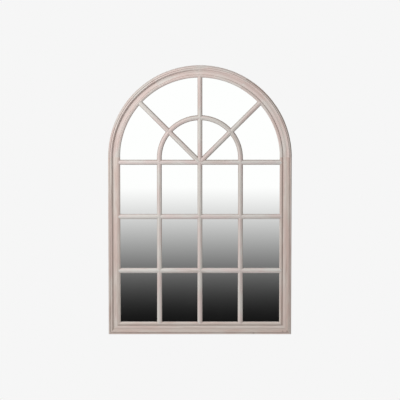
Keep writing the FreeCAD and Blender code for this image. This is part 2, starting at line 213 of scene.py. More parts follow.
# how dark each member is made in those lines, in the same order: painted shade, heaviest on the members
# and faces turned from the light
shadeAndGlazeKept = {
    "left_stile": (0.28, 0.1, 0.04, 0.32, 0.0, 0.06, 0.2),
    "right_stile": (0.24, 0.0, 0.36, 0.3, 0.06, 0.42, 0.26),
    "bottom_rail": (0.12, 0.04, 0.16, 0.26, 0.18, 0.42, 0.2),
    "arch_left": (0.32, 0.04, 0.0, 0.24, 0.06, 0.06, 0.18),
    "arch_crown": (0.18, 0.0, 0.0, 0.08, 0.22, 0.0, 0.06),
    "arch_right": (0.75, 0.0, 0.04, 0.24, 0.14, 0.2, 0.16),
}
wallSpan = (0.0, -0.3)  # it fades where the face turns into the outer wall
# painted shade on the glazing bars: more towards the fan, on both flanks and most on the right hand
# ones, turned from the light
barPaintedShade = {
    "heightSpan": (-0.5, 0.05),
    "sides": {"darkShare": 0.52, "span": (-0.92, -0.36)},
    "right": {"darkShare": 0.11, "span": (0.0, 0.4), "heading": (1.0, 0.0, -0.2)},
}
# small knocks through the wash near the right end of the bottom rail
knocks = {
    "places": (
        (0.3627, -0.043, cadLow.z + 14 * mm),
        (0.3823, -0.043, cadLow.z + 12 * mm),
        (0.2352, -0.043, cadLow.z + 5 * mm)),
    "radius": 4 * mm,
}


def straightCourse(tree, place, bar, degrees):
    # along, depth and across from the middle of a straight bar that runs at this angle from X towards Z
    turn = math.radians(degrees)
    barMiddle = sum(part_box(bar), Vector()) / 2
    across = barMiddle.z * math.cos(turn) - barMiddle.x * math.sin(turn)
    turned = addNode(
        tree, "ShaderNodeMapping", Vector=place, Rotation=(0, turn, 0), Location=(0, 0, -across))
    return turned.outputs["Vector"]


def roundCourse(tree, place, bar):
    # the same for a bar of the half hoop, with its length round the arc
    parts = addNode(tree, "ShaderNodeSeparateXYZ", Vector=place).outputs
    rise = addNode(
        tree, "ShaderNodeMath", {"operation": "SUBTRACT"}, i0=parts["Z"], i1=hoopCentreZ).outputs[0]
    angle = addNode(tree, "ShaderNodeMath", {"operation": "ARCTAN2"}, i0=parts["X"], i1=rise).outputs[0]
    flat = addNode(tree, "ShaderNodeCombineXYZ", X=parts["X"], Y=rise).outputs[0]
    radius = addNode(tree, "ShaderNodeVectorMath", {"operation": "LENGTH"}, i0=flat).outputs["Value"]
    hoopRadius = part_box(bar)[1].z - hoopCentreZ - fan["barWidth"] / 2
    across = addNode(
        tree, "ShaderNodeMath", {"operation": "SUBTRACT"}, i0=radius, i1=hoopRadius).outputs[0]
    along = addNode(
        tree, "ShaderNodeMath", {"operation": "MULTIPLY"}, i0=angle, i1=hoopRadius).outputs[0]
    return addNode(tree, "ShaderNodeCombineXYZ", X=along, Y=parts["Y"], Z=across).outputs[0]


def sweptCourse(tree, place):
    # a swept member carries its own course: along, inset and height
    return addNode(tree, "ShaderNodeAttribute", {"attribute_name": "course"}).outputs["Vector"]


def limewashedPine(piece, tone, courseOf, shift):
    material, tree, surface = newMaterial("limewashedPine." + piece)
    coordinates = addNode(tree, "ShaderNodeTexCoord").outputs
    course = courseOf(tree, coordinates["Object"])

    def strokes(length, width, **sockets):
        stretched = addNode(
            tree, "ShaderNodeMapping", Vector=course, Location=(shift, shift, shift),
            Scale=(1 / length, 1 / width, 1 / width))
        return addNode(
            tree, "ShaderNodeTexNoise", Vector=stretched.outputs[0], Scale=1.0, **sockets).outputs[0]

    def blend(mask, span, first, second, most=1.0):
        # lays the second colour over the first, from none to most of it along the span of the mask
        share = addNode(
            tree, "ShaderNodeMapRange", Value=mask, From_Min=span[0], From_Max=span[1],
            To_Max=most).outputs[0]
        return addNode(
            tree, "ShaderNodeMix", {"data_type": "RGBA"}, i0=share, i6=first, i7=second).outputs[2]

    streaks = strokes(limewash["streakLength"], limewash["streakWidth"], Detail=3.0, Roughness=0.55)
    grain = strokes(limewash["grainLength"], limewash["grainWidth"], Detail=2.0, Roughness=0.5)
    blotches = strokes(limewash["blotchLength"], limewash["blotchWidth"], Detail=2.0, Roughness=0.5)
    shadeGlazeAndKnocks = limewash["shadeGlazeAndKnocks"]
    colour = blend(blotches, limewash["washSpan"], limewash[tone + "Blush"], limewash[tone + "Wash"])
    colour = blend(streaks, limewash["chalkSpan"], colour, limewash["chalk"])
    colour = blend(streaks, limewash["bareStreakSpan"], colour, limewash["bare"])
    colour = blend(grain, limewash["bareGrainSpan"], colour, limewash["bare"])
    # painted shade: ambient occlusion darkens the recesses, standing also for glaze settled there
    corner = addNode(
        tree, "ShaderNodeAmbientOcclusion", {"samples": limewash["recessShadeSamples"]},
        Distance=limewash["recessShadeReach"]).outputs["AO"]
    colour = blend(corner, limewash["recessShadeSpan"], colour, shadeGlazeAndKnocks)
    facing = addNode(tree, "ShaderNodeSeparateXYZ", Vector=coordinates["Normal"]).outputs["Y"]
    # painted shade, with some glaze, in lines along the moulding, set member by member by how the light
    # falls
    if piece in shadeAndGlazeKept:
        inset = addNode(tree, "ShaderNodeSeparateXYZ", Vector=course).outputs["Y"]
        for line, darkShare in zip(shadeAndGlazeLines.values(), shadeAndGlazeKept[piece]):
            aside = addNode(
                tree, "ShaderNodeMath", {"operation": "SUBTRACT"}, i0=inset,
                i1=line["inset"]).outputs[0]
            aside = addNode(tree, "ShaderNodeMath", {"operation": "ABSOLUTE"}, i0=aside).outputs[0]
            darkening = addNode(
                tree, "ShaderNodeMapRange", Value=facing, From_Min=wallSpan[0], From_Max=wallSpan[1],
                To_Max=darkShare).outputs[0]
            colour = blend(aside, (line["reach"], 0.0), colour, shadeGlazeAndKnocks, darkening)
    else:
        # painted shade on the bars' flanks, most on the right hand ones, and more towards the fan
        height = addNode(tree, "ShaderNodeSeparateXYZ", Vector=coordinates["Object"]).outputs["Z"]
        rightward = addNode(
            tree, "ShaderNodeVectorMath", {"operation": "DOT_PRODUCT"}, i0=coordinates["Normal"],
            i1=barPaintedShade["right"]["heading"]).outputs["Value"]
        for turn, side in ((rightward, "right"), (facing, "sides")):
            darkening = addNode(
                tree, "ShaderNodeMapRange", Value=height, From_Min=barPaintedShade["heightSpan"][0],
                From_Max=barPaintedShade["heightSpan"][1], To_Max=barPaintedShade[side]["darkShare"]).outputs[0]
            colour = blend(turn, barPaintedShade[side]["span"], colour, shadeGlazeAndKnocks, darkening)
    for knock in knocks["places"] if piece == "bottom_rail" else ():
        away = addNode(
            tree, "ShaderNodeVectorMath", {"operation": "DISTANCE"}, i0=coordinates["Object"], i1=knock)
        colour = blend(away.outputs["Value"], (knocks["radius"], 0.0), colour, shadeGlazeAndKnocks)
    behind = blend(grain, limewash["timberSpan"], limewash["timber"], limewash["bare"])
    colour = blend(facing, limewash["backSpan"], colour, behind)
    ridges = addNode(
        tree, "ShaderNodeBump", Strength=limewash["bump"], Distance=limewash["grainRelief"],
        Height=grain).outputs[0]
    drag = addNode(
        tree, "ShaderNodeBump", Strength=limewash["bump"], Distance=limewash["streakRelief"],
        Height=streaks, Normal=ridges).outputs[0]
    rough = addNode(
        tree, "ShaderNodeMapRange", Value=streaks, To_Min=limewash["dullest"],
        To_Max=limewash["glossiest"]).outputs[0]
    shader = addNode(tree, "ShaderNodeBsdfPrincipled", Base_Color=colour, Roughness=rough, Normal=drag)
    tree.links.new(shader.outputs[0], surface)
    return material


# Glazing bars keep their CAD shape, with its halved and coped joints
barAngles = {
    "transom_bar": 0, "upper_cross_bar": 0, "lower_cross_bar": 0,
    "left_upright": 90, "centre_upright": 90, "right_upright": 90,
    "left_radial_bar": -45, "right_radial_bar": 45,
    "left_ring_bar": None, "right_ring_bar": None,
}
for number, (bar, degrees) in enumerate(barAngles.items()):
    def barCourse(tree, place):
        if degrees is None:
            return roundCourse(tree, place, bar)
        return straightCourse(tree, place, bar, degrees)

    tone = "cross" if degrees == 0 else "bar"
    wear(nodes[bar], limewashedPine(bar, tone, barCourse, limewash["barShift"] * number))
print("glazing bars finished:", len(barAngles))

# Frame moulding, from the outer edge towards the sight edge, in metres
moulding = {
    "face": 52 * mm,
    "depth": 38 * mm,
    "wallGap": 6 * mm,
    "backArris": 1.5 * mm,
    "easedArris": 0.5 * mm,
    "outerRound": 5.5 * mm,
    "outerFlat": 1.5 * mm,
    "quirkWidth": 1.9 * mm,
    "quirkDepth": 2.4 * mm,
    "beadRadius": 3.0 * mm,
    "beadFillet": 1.6 * mm,
    "coveDrop": 1.5 * mm,
    "coveRadius": 6.5 * mm,
    "lipQuirkWidth": 0.8 * mm,
    "lipQuirkDepth": 0.7 * mm,
    "lipRound": 2.7 * mm,
    "lipFlat": 1.0 * mm,
    "barTop": 30.3 * mm,
    "ovoloRadius": 9.0 * mm,
    "ovoloFillet": 1.0 * mm,
    "mirrorSeat": 16.3 * mm,
    "mirrorWall": 41.5 * mm,
    "panelSeat": 12.0 * mm,
    "panelWall": 29.0 * mm,
    "roundSteps": 8,
    "arrisSteps": 3,
    "archSteps": 90,
    "straightSteps": 40,
    "weld": 0.001 * mm,
    "creaseAngle": 34,
}


def mouldingSection():
    # the moulding's outline, x inwards from the outer edge and y forward from the back of the wood
    m = moulding
    points = []

    def bow(centreX, centreY, radius, start, end, steps=m["roundSteps"]):
        for step in range(steps + 1):
            angle = math.radians(start + (end - start) * step / steps)
            points.append((centreX + radius * math.cos(angle), centreY + radius * math.sin(angle)))

    def easedCorner(x, y):
        bow(x - m["easedArris"], y - m["easedArris"], m["easedArris"], 90, 0, m["arrisSteps"])

    flatEnd = m["outerRound"] + m["outerFlat"]
    beadStart = flatEnd + m["quirkWidth"]
    beadBase = m["depth"] - m["beadRadius"]
    coveStart = beadStart + 2 * m["beadRadius"] + m["beadFillet"]
    coveTop = beadBase - m["coveDrop"]
    bandHeight = coveTop - m["coveRadius"]
    crestEnd = m["face"] - m["ovoloRadius"]
    lipSide = crestEnd - m["lipFlat"] - m["lipRound"]
    quirkSide = lipSide - m["lipQuirkWidth"]
    ovoloFoot = m["barTop"] - m["ovoloFillet"] - m["ovoloRadius"]
    points += [(m["backArris"], 0), (0, m["backArris"])]
    bow(m["outerRound"], m["depth"] - m["outerRound"], m["outerRound"], 180, 90)
    easedCorner(flatEnd, m["depth"])
    points.append((flatEnd, m["depth"] - m["quirkDepth"]))
    beadFoot = math.degrees(math.asin(1 - m["quirkDepth"] / m["beadRadius"]))
    bow(beadStart + m["beadRadius"], beadBase, m["beadRadius"], 180 - beadFoot, 0, 2 * m["roundSteps"])
    easedCorner(coveStart, beadBase)
    bow(coveStart + m["coveRadius"], coveTop, m["coveRadius"], 180, 270)
    easedCorner(quirkSide, bandHeight)
    points += [(quirkSide, bandHeight - m["lipQuirkDepth"]), (lipSide, bandHeight - m["lipQuirkDepth"])]
    bow(lipSide + m["lipRound"], m["barTop"] - m["lipRound"], m["lipRound"], 180, 90)
    easedCorner(crestEnd, m["barTop"])
    bow(crestEnd, ovoloFoot, m["ovoloRadius"], 90, 0)
    points += [(m["face"], m["mirrorSeat"]), (m["mirrorWall"], m["mirrorSeat"])]
    points += [(m["mirrorWall"], m["panelSeat"]), (m["panelWall"], m["panelSeat"]), (m["panelWall"], 0)]
    return points


def sectionMesh():
    outline = mouldingSection()
    mesh = bpy.data.meshes.new("mouldingSection")
    mesh.from_pydata([(x, y, 0) for x, y in outline], [], [range(len(outline))])
    return mesh


def mouldedTree(name, inputs, bendTo):
    # sweeps the section: a grid takes its points from the outline and two copies of it close the ends
    tree, size, result = newTree(name, {**inputs, "Steps": "Int", "Wood": "Material"})
    section = size["Geometry"]
    count = addNode(tree, "GeometryNodeAttributeDomainSize", Geometry=section).outputs["Point Count"]
    columns = addNode(tree, "ShaderNodeMath", {"operation": "ADD"}, i0=count, i1=1.0).outputs[0]
    rows = addNode(tree, "ShaderNodeMath", {"operation": "ADD"}, i0=size["Steps"], i1=1.0).outputs[0]
    sheet = addNode(
        tree, "GeometryNodeMeshGrid", Size_X=1.0, Size_Y=1.0, Vertices_X=columns,
        Vertices_Y=rows).outputs["Mesh"]
    here = addNode(tree, "GeometryNodeInputPosition").outputs[0]
    spot = addNode(
        tree, "ShaderNodeVectorMath", {"operation": "ADD"}, i0=here, i1=(0.5, 0.5, 0.0)).outputs[0]
    spotParts = addNode(tree, "ShaderNodeSeparateXYZ", Vector=spot).outputs
    column = addNode(
        tree, "ShaderNodeMath", {"operation": "MULTIPLY"}, i0=spotParts["X"], i1=count).outputs[0]
    wholeColumn = addNode(tree, "ShaderNodeMath", {"operation": "ROUND"}, i0=column).outputs[0]
    corner = addNode(
        tree, "ShaderNodeMath", {"operation": "MODULO"}, i0=wholeColumn, i1=count).outputs[0]
    outline = addNode(
        tree, "GeometryNodeSampleIndex", {"data_type": "FLOAT_VECTOR"}, Geometry=section, Value=here,
        Index=corner)
    outlineParts = addNode(tree, "ShaderNodeSeparateXYZ", Vector=outline.outputs[0]).outputs
    rolled = addNode(
        tree, "ShaderNodeCombineXYZ", X=spotParts["Y"], Y=outlineParts["X"],
        Z=outlineParts["Y"]).outputs[0]
    shells = [addNode(tree, "GeometryNodeSetPosition", Geometry=sheet, Position=rolled).outputs[0]]
    hereParts = addNode(tree, "ShaderNodeSeparateXYZ", Vector=here).outputs
    for end in (0.0, 1.0):
        lifted = addNode(
            tree, "ShaderNodeCombineXYZ", X=end, Y=hereParts["X"], Z=hereParts["Y"]).outputs[0]
        shells.append(
            addNode(tree, "GeometryNodeSetPosition", Geometry=section, Position=lifted).outputs[0])
    joined = tree.nodes.new("GeometryNodeJoinGeometry")
    for shell in reversed(shells):
        tree.links.new(shell, joined.inputs[0])
    closed = addNode(
        tree, "GeometryNodeMergeByDistance", Geometry=joined.outputs[0],
        Distance=moulding["weld"]).outputs[0]
    share, inset, height = hereParts["X"], hereParts["Y"], hereParts["Z"]
    place, course = bendTo(tree, size, share, inset, height)
    marked = addNode(
        tree, "GeometryNodeStoreNamedAttribute", {"data_type": "FLOAT_VECTOR", "domain": "POINT"},
        Geometry=closed, Name="course", Value=course).outputs[0]
    bent = addNode(tree, "GeometryNodeSetPosition", Geometry=marked, Position=place).outputs[0]
    smooth = addNode(tree, "GeometryNodeSetShadeSmooth", Geometry=bent, Shade_Smooth=True).outputs[0]
    fold = addNode(tree, "GeometryNodeInputMeshEdgeAngle").outputs["Unsigned Angle"]
    crisp = addNode(
        tree, "ShaderNodeMath", {"operation": "GREATER_THAN"}, i0=fold,
        i1=math.radians(moulding["creaseAngle"])).outputs[0]
    edged = addNode(
        tree, "GeometryNodeSetShadeSmooth", {"domain": "EDGE"}, Geometry=smooth, Selection=crisp,
        Shade_Smooth=False)
    whole = addNode(tree, "GeometryNodeRealizeInstances", Geometry=edged.outputs[0]).outputs[0]
    dressed = addNode(tree, "GeometryNodeSetMaterial", Geometry=whole, Material=size["Wood"]).outputs[0]
    tree.links.new(dressed, result)
    return tree


def alongLine(tree, size, share, inset, height):
    # outer edge from Start to End, section towards Inward, ends sheared for the mitres
    run = addNode(
        tree, "ShaderNodeVectorMath", {"operation": "SUBTRACT"}, i0=size["End"],
        i1=size["Start"]).outputs[0]
    heading = addNode(tree, "ShaderNodeVectorMath", {"operation": "NORMALIZE"}, i0=run).outputs[0]
    edge = addNode(
        tree, "ShaderNodeVectorMath", {"operation": "MULTIPLY_ADD"}, i0=run, i1=share,
        i2=size["Start"]).outputs[0]
    across = addNode(
        tree, "ShaderNodeVectorMath", {"operation": "MULTIPLY_ADD"}, i0=size["Inward"], i1=inset,
        i2=edge).outputs[0]
    lean = addNode(
        tree, "ShaderNodeMapRange", Value=share, To_Min=size["Start Mitre"],
        To_Max=size["End Mitre"]).outputs[0]
    shear = addNode(tree, "ShaderNodeMath", {"operation": "MULTIPLY"}, i0=lean, i1=inset).outputs[0]
    mitred = addNode(
        tree, "ShaderNodeVectorMath", {"operation": "MULTIPLY_ADD"}, i0=heading, i1=shear,
        i2=across).outputs[0]
    forward = addNode(tree, "ShaderNodeCombineXYZ", Y=height).outputs[0]
    place = addNode(
        tree, "ShaderNodeVectorMath", {"operation": "SUBTRACT"}, i0=mitred, i1=forward).outputs[0]
    along = addNode(
        tree, "ShaderNodeVectorMath", {"operation": "DOT_PRODUCT"}, i0=mitred,
        i1=heading).outputs["Value"]
    return place, addNode(tree, "ShaderNodeCombineXYZ", X=along, Y=inset, Z=height).outputs[0]


def roundArch(tree, size, share, inset, height):
    # turns from the left springing over the crown
    angle = addNode(
        tree, "ShaderNodeMapRange", Value=share, To_Min=size["Start Angle"],
        To_Max=size["End Angle"]).outputs[0]
    radius = addNode(
        tree, "ShaderNodeMath", {"operation": "SUBTRACT"}, i0=size["Radius"], i1=inset).outputs[0]
    cosine = addNode(tree, "ShaderNodeMath", {"operation": "COSINE"}, i0=angle).outputs[0]
    sine = addNode(tree, "ShaderNodeMath", {"operation": "SINE"}, i0=angle).outputs[0]
    aside = addNode(tree, "ShaderNodeMath", {"operation": "MULTIPLY"}, i0=radius, i1=cosine).outputs[0]
    rise = addNode(tree, "ShaderNodeMath", {"operation": "MULTIPLY"}, i0=radius, i1=sine).outputs[0]
    turned = addNode(tree, "ShaderNodeCombineXYZ", X=aside, Y=height, Z=rise).outputs[0]
    place = addNode(
        tree, "ShaderNodeVectorMath", {"operation": "MULTIPLY_ADD"}, i0=turned, i1=(-1, -1, 1),
        i2=size["Centre"])
    along = addNode(
        tree, "ShaderNodeMath", {"operation": "MULTIPLY"}, i0=angle, i1=size["Radius"]).outputs[0]
    return place.outputs[0], addNode(
        tree, "ShaderNodeCombineXYZ", X=along, Y=inset, Z=height).outputs[0]


straightMoulding = mouldedTree("straightMoulding", {
    "Start": "Vector", "End": "Vector", "Inward": "Vector",
    "Start Mitre": "Float", "End Mitre": "Float"}, alongLine)
archMoulding = mouldedTree("archMoulding", {
    "Centre": "Vector", "Radius": "Float",
    "Start Angle": "Float", "End Angle": "Float"}, roundArch)

woodBack = -moulding["wallGap"]
footLeft, footRight = (-halfWidth, woodBack, cadLow.z), (halfWidth, woodBack, cadLow.z)
springLeft, springRight = (-halfWidth, woodBack, archCentreZ), (halfWidth, woodBack, archCentreZ)
straightMembers = {
    "left_stile": {
        "Start": footLeft, "End": springLeft, "Inward": (1, 0, 0),
        "Start Mitre": 1.0, "End Mitre": 0.0},
    "right_stile": {
        "Start": footRight, "End": springRight, "Inward": (-1, 0, 0),
        "Start Mitre": 1.0, "End Mitre": 0.0},
    "bottom_rail": {
        "Start": footLeft, "End": footRight, "Inward": (0, 0, 1),
        "Start Mitre": 1.0, "End Mitre": -1.0},
}
archMembers = {"arch_left": (0, 60), "arch_crown": (60, 120), "arch_right": (120, 180)}


def mouldedMember(node, tree, number, sizes):
    tone = "arch" if node in archMembers else "frame"
    wood = limewashedPine(
        node, tone, sweptCourse, limewash["frameStart"] + limewash["frameShift"] * number)
    member = grow(node + ".moulded", tree, sectionMesh(), {**sizes, "Wood": wood})
    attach(member, "mirror")
    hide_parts(node)


for number, (node, sizes) in enumerate(straightMembers.items()):
    mouldedMember(node, straightMoulding, number, {**sizes, "Steps": moulding["straightSteps"]})
for number, (node, (start, end)) in enumerate(archMembers.items(), 10):
    mouldedMember(node, archMoulding, number, {
        "Centre": (0, woodBack, archCentreZ), "Radius": halfWidth, "Start Angle": math.radians(start),
        "End Angle": math.radians(end), "Steps": moulding["archSteps"]})
print("moulded frame swept:", len(straightMembers) + len(archMembers), "members")


# Silvered float glass: a clean mirror with the faintest haze
glassLook = {"tint": "#f9faf9", "hazeSize": 70 * mm, "haziest": 0.03}


def silveredGlass():
    material, tree, surface = newMaterial("silveredGlass")
    place = addNode(tree, "ShaderNodeTexCoord").outputs["Object"]
    haze = addNode(
        tree, "ShaderNodeTexNoise", Vector=place, Scale=1 / glassLook["hazeSize"],
        Detail=4.0).outputs[0]
    rough = addNode(tree, "ShaderNodeMapRange", Value=haze, To_Max=glassLook["haziest"]).outputs[0]
    shader = addNode(
        tree, "ShaderNodeBsdfPrincipled", Base_Color=glassLook["tint"], Metallic=1.0, Roughness=rough)
    tree.links.new(shader.outputs[0], surface)
    return material


# Zinc-plated steel: bright bluish grey, clouded by the plating bath
zincLook = {
    "dark": "#a9adb1",
    "light": "#c9cccd",
    "cloudSize": 4 * mm,
    "glossiest": 0.26,
    "dullest": 0.46,
    "pitSize": 0.8 * mm,
    "pitDepth": 0.1 * mm,
    "bump": 0.12,
}


def zincPlatedSteel():
    material, tree, surface = newMaterial("zincPlatedSteel")
    place = addNode(tree, "ShaderNodeTexCoord").outputs["Object"]
    cloud = addNode(
        tree, "ShaderNodeTexNoise", Vector=place, Scale=1 / zincLook["cloudSize"], Detail=3.0,
        Roughness=0.6).outputs[0]
    colour = addNode(
        tree, "ShaderNodeMix", {"data_type": "RGBA"}, i0=cloud, i6=zincLook["dark"],
        i7=zincLook["light"]).outputs[2]
    rough = addNode(
        tree, "ShaderNodeMapRange", Value=cloud, To_Min=zincLook["glossiest"],
        To_Max=zincLook["dullest"]).outputs[0]
    pits = addNode(
        tree, "ShaderNodeTexNoise", Vector=place, Scale=1 / zincLook["pitSize"], Detail=2.0).outputs[0]
    skin = addNode(
        tree, "ShaderNodeBump", Strength=zincLook["bump"], Distance=zincLook["pitDepth"],
        Height=pits).outputs[0]
    shader = addNode(
        tree, "ShaderNodeBsdfPrincipled", Base_Color=colour, Metallic=1.0, Roughness=rough, Normal=skin)
    tree.links.new(shader.outputs[0], surface)
    return material


# Hardboard: pressed brown fibres, matt, with darker clouds and stray pale fibres
boardLook = {
    "deep": "#7c5c40",
    "pale": "#9a7757",
    "fibre": "#a27e5b",
    "fibreSize": 2.5 * mm,
    "fibreSpan": (0.5, 0.75),
    "fibreRelief": 0.3 * mm,
    "bump": 0.3,
    "cloudSize": 90 * mm,
    "roughness": 0.82,
}


def hardboard():
    material, tree, surface = newMaterial("hardboard")
    place = addNode(tree, "ShaderNodeTexCoord").outputs["Object"]
    fibres = addNode(
        tree, "ShaderNodeTexNoise", Vector=place, Scale=1 / boardLook["fibreSize"], Detail=4.0,
        Roughness=0.6, Distortion=0.4).outputs[0]
    clouds = addNode(
        tree, "ShaderNodeTexNoise", Vector=place, Scale=1 / boardLook["cloudSize"],
        Detail=3.0).outputs[0]
    tone = addNode(
        tree, "ShaderNodeMix", {"data_type": "RGBA"}, i0=clouds, i6=boardLook["deep"],
        i7=boardLook["pale"]).outputs[2]
    share = addNode(
        tree, "ShaderNodeMapRange", Value=fibres, From_Min=boardLook["fibreSpan"][0],
        From_Max=boardLook["fibreSpan"][1]).outputs[0]
    colour = addNode(
        tree, "ShaderNodeMix", {"data_type": "RGBA"}, i0=share, i6=tone,
        i7=boardLook["fibre"]).outputs[2]
    felt = addNode(
        tree, "ShaderNodeBump", Strength=boardLook["bump"], Distance=boardLook["fibreRelief"],
        Height=fibres).outputs[0]
    shader = addNode(
        tree, "ShaderNodeBsdfPrincipled", Base_Color=colour, Roughness=boardLook["roughness"],
        Normal=felt)
    tree.links.new(shader.outputs[0], surface)
    return material


# Moulded black rubber: dull, finely grained from the mould
rubberLook = {
    "black": "#1d1c1b",
    "bloom": "#34322f",
    "bloomSize": 3 * mm,
    "gritSize": 0.5 * mm,
    "gritRelief": 0.1 * mm,
    "bump": 0.2,
    "roughness": 0.7,
}


def mouldedRubber():
    material, tree, surface = newMaterial("mouldedRubber")
    place = addNode(tree, "ShaderNodeTexCoord").outputs["Object"]
    bloom = addNode(
        tree, "ShaderNodeTexNoise", Vector=place, Scale=1 / rubberLook["bloomSize"],
        Detail=4.0).outputs[0]
    colour = addNode(
        tree, "ShaderNodeMix", {"data_type": "RGBA"}, i0=bloom, i6=rubberLook["black"],
        i7=rubberLook["bloom"]).outputs[2]
    grit = addNode(
        tree, "ShaderNodeTexNoise", Vector=place, Scale=1 / rubberLook["gritSize"]).outputs[0]
    skin = addNode(
        tree, "ShaderNodeBump", Strength=rubberLook["bump"], Distance=rubberLook["gritRelief"],
        Height=grit).outputs[0]
    shader = addNode(
        tree, "ShaderNodeBsdfPrincipled", Base_Color=colour, Roughness=rubberLook["roughness"],
        Normal=skin)
    tree.links.new(shader.outputs[0], surface)
    return material


# Planed beech: warm tan with short dark flecks
beechLook = {
    "pale": "#cfae84",
    "fleck": "#a57f55",
    "fleckWidth": 1 * mm,
    "fleckLength": 6 * mm,
    "fleckSpan": (0.5, 0.75),
    "roughness": 0.6,
}


def planedBeech():
    material, tree, surface = newMaterial("planedBeech")
    place = addNode(tree, "ShaderNodeTexCoord").outputs["Object"]
    thin, long = 1 / beechLook["fleckWidth"], 1 / beechLook["fleckLength"]
    drawn = addNode(tree, "ShaderNodeMapping", Vector=place, Scale=(thin, thin, long))
    flecks = addNode(
        tree, "ShaderNodeTexNoise", Vector=drawn.outputs[0], Scale=1.0, Detail=2.0).outputs[0]
    share = addNode(
        tree, "ShaderNodeMapRange", Value=flecks, From_Min=beechLook["fleckSpan"][0],
        From_Max=beechLook["fleckSpan"][1]).outputs[0]
    colour = addNode(
        tree, "ShaderNodeMix", {"data_type": "RGBA"}, i0=share, i6=beechLook["pale"],
        i7=beechLook["fleck"]).outputs[2]
    shader = addNode(
        tree, "ShaderNodeBsdfPrincipled", Base_Color=colour, Roughness=beechLook["roughness"])
    tree.links.new(shader.outputs[0], surface)
    return material


zinc = zincPlatedSteel()
finishes = {
    "mirror_sheet": silveredGlass(), "back_panel": hardboard(),
    "left_hanger_strap": zinc, "right_hanger_strap": zinc,
    "left_hanger_ring": zinc, "right_hanger_ring": zinc,
}
finishes["wall_bumpers"] = finishes["setting_pads"] = mouldedRubber()
finishes["arch_dowels"] = finishes["corner_biscuits"] = planedBeech()
for node, material in finishes.items():
    wear(nodes[node], material)
print("other finishes:", len(finishes), "pieces")

# Pan-head screws, one head shape set at every CAD screw and turned by a fixed seed
screws = {
    "panel_screws": {
        "Head Radius": 3.2 * mm, "Shank Radius": 1.5 * mm, "Shank Length": 14 * mm, "Seed": 4},
    "hanger_screws": {
        "Head Radius": 3.4 * mm, "Shank Radius": 1.75 * mm, "Shank Length": 16 * mm, "Seed": 9},
    "headHeight": 2.0 * mm,
    "slotSpan": 0.62,  # of the head's width
    "slotWidth": 0.9 * mm,
    "slotDepth": 1.1 * mm,
    "panCurve": 0.5,  # below 1 is flatter on top than a ball
    "tipShare": 0.3,  # of the shank's radius
    "headSides": 32,
    "headRings": 24,
    "shankSides": 16,
    "weld": 0.005 * mm,
    "cutWeld": 0.01 * mm,
    "creaseAngle": 40,
    "apart": 12 * mm,
}


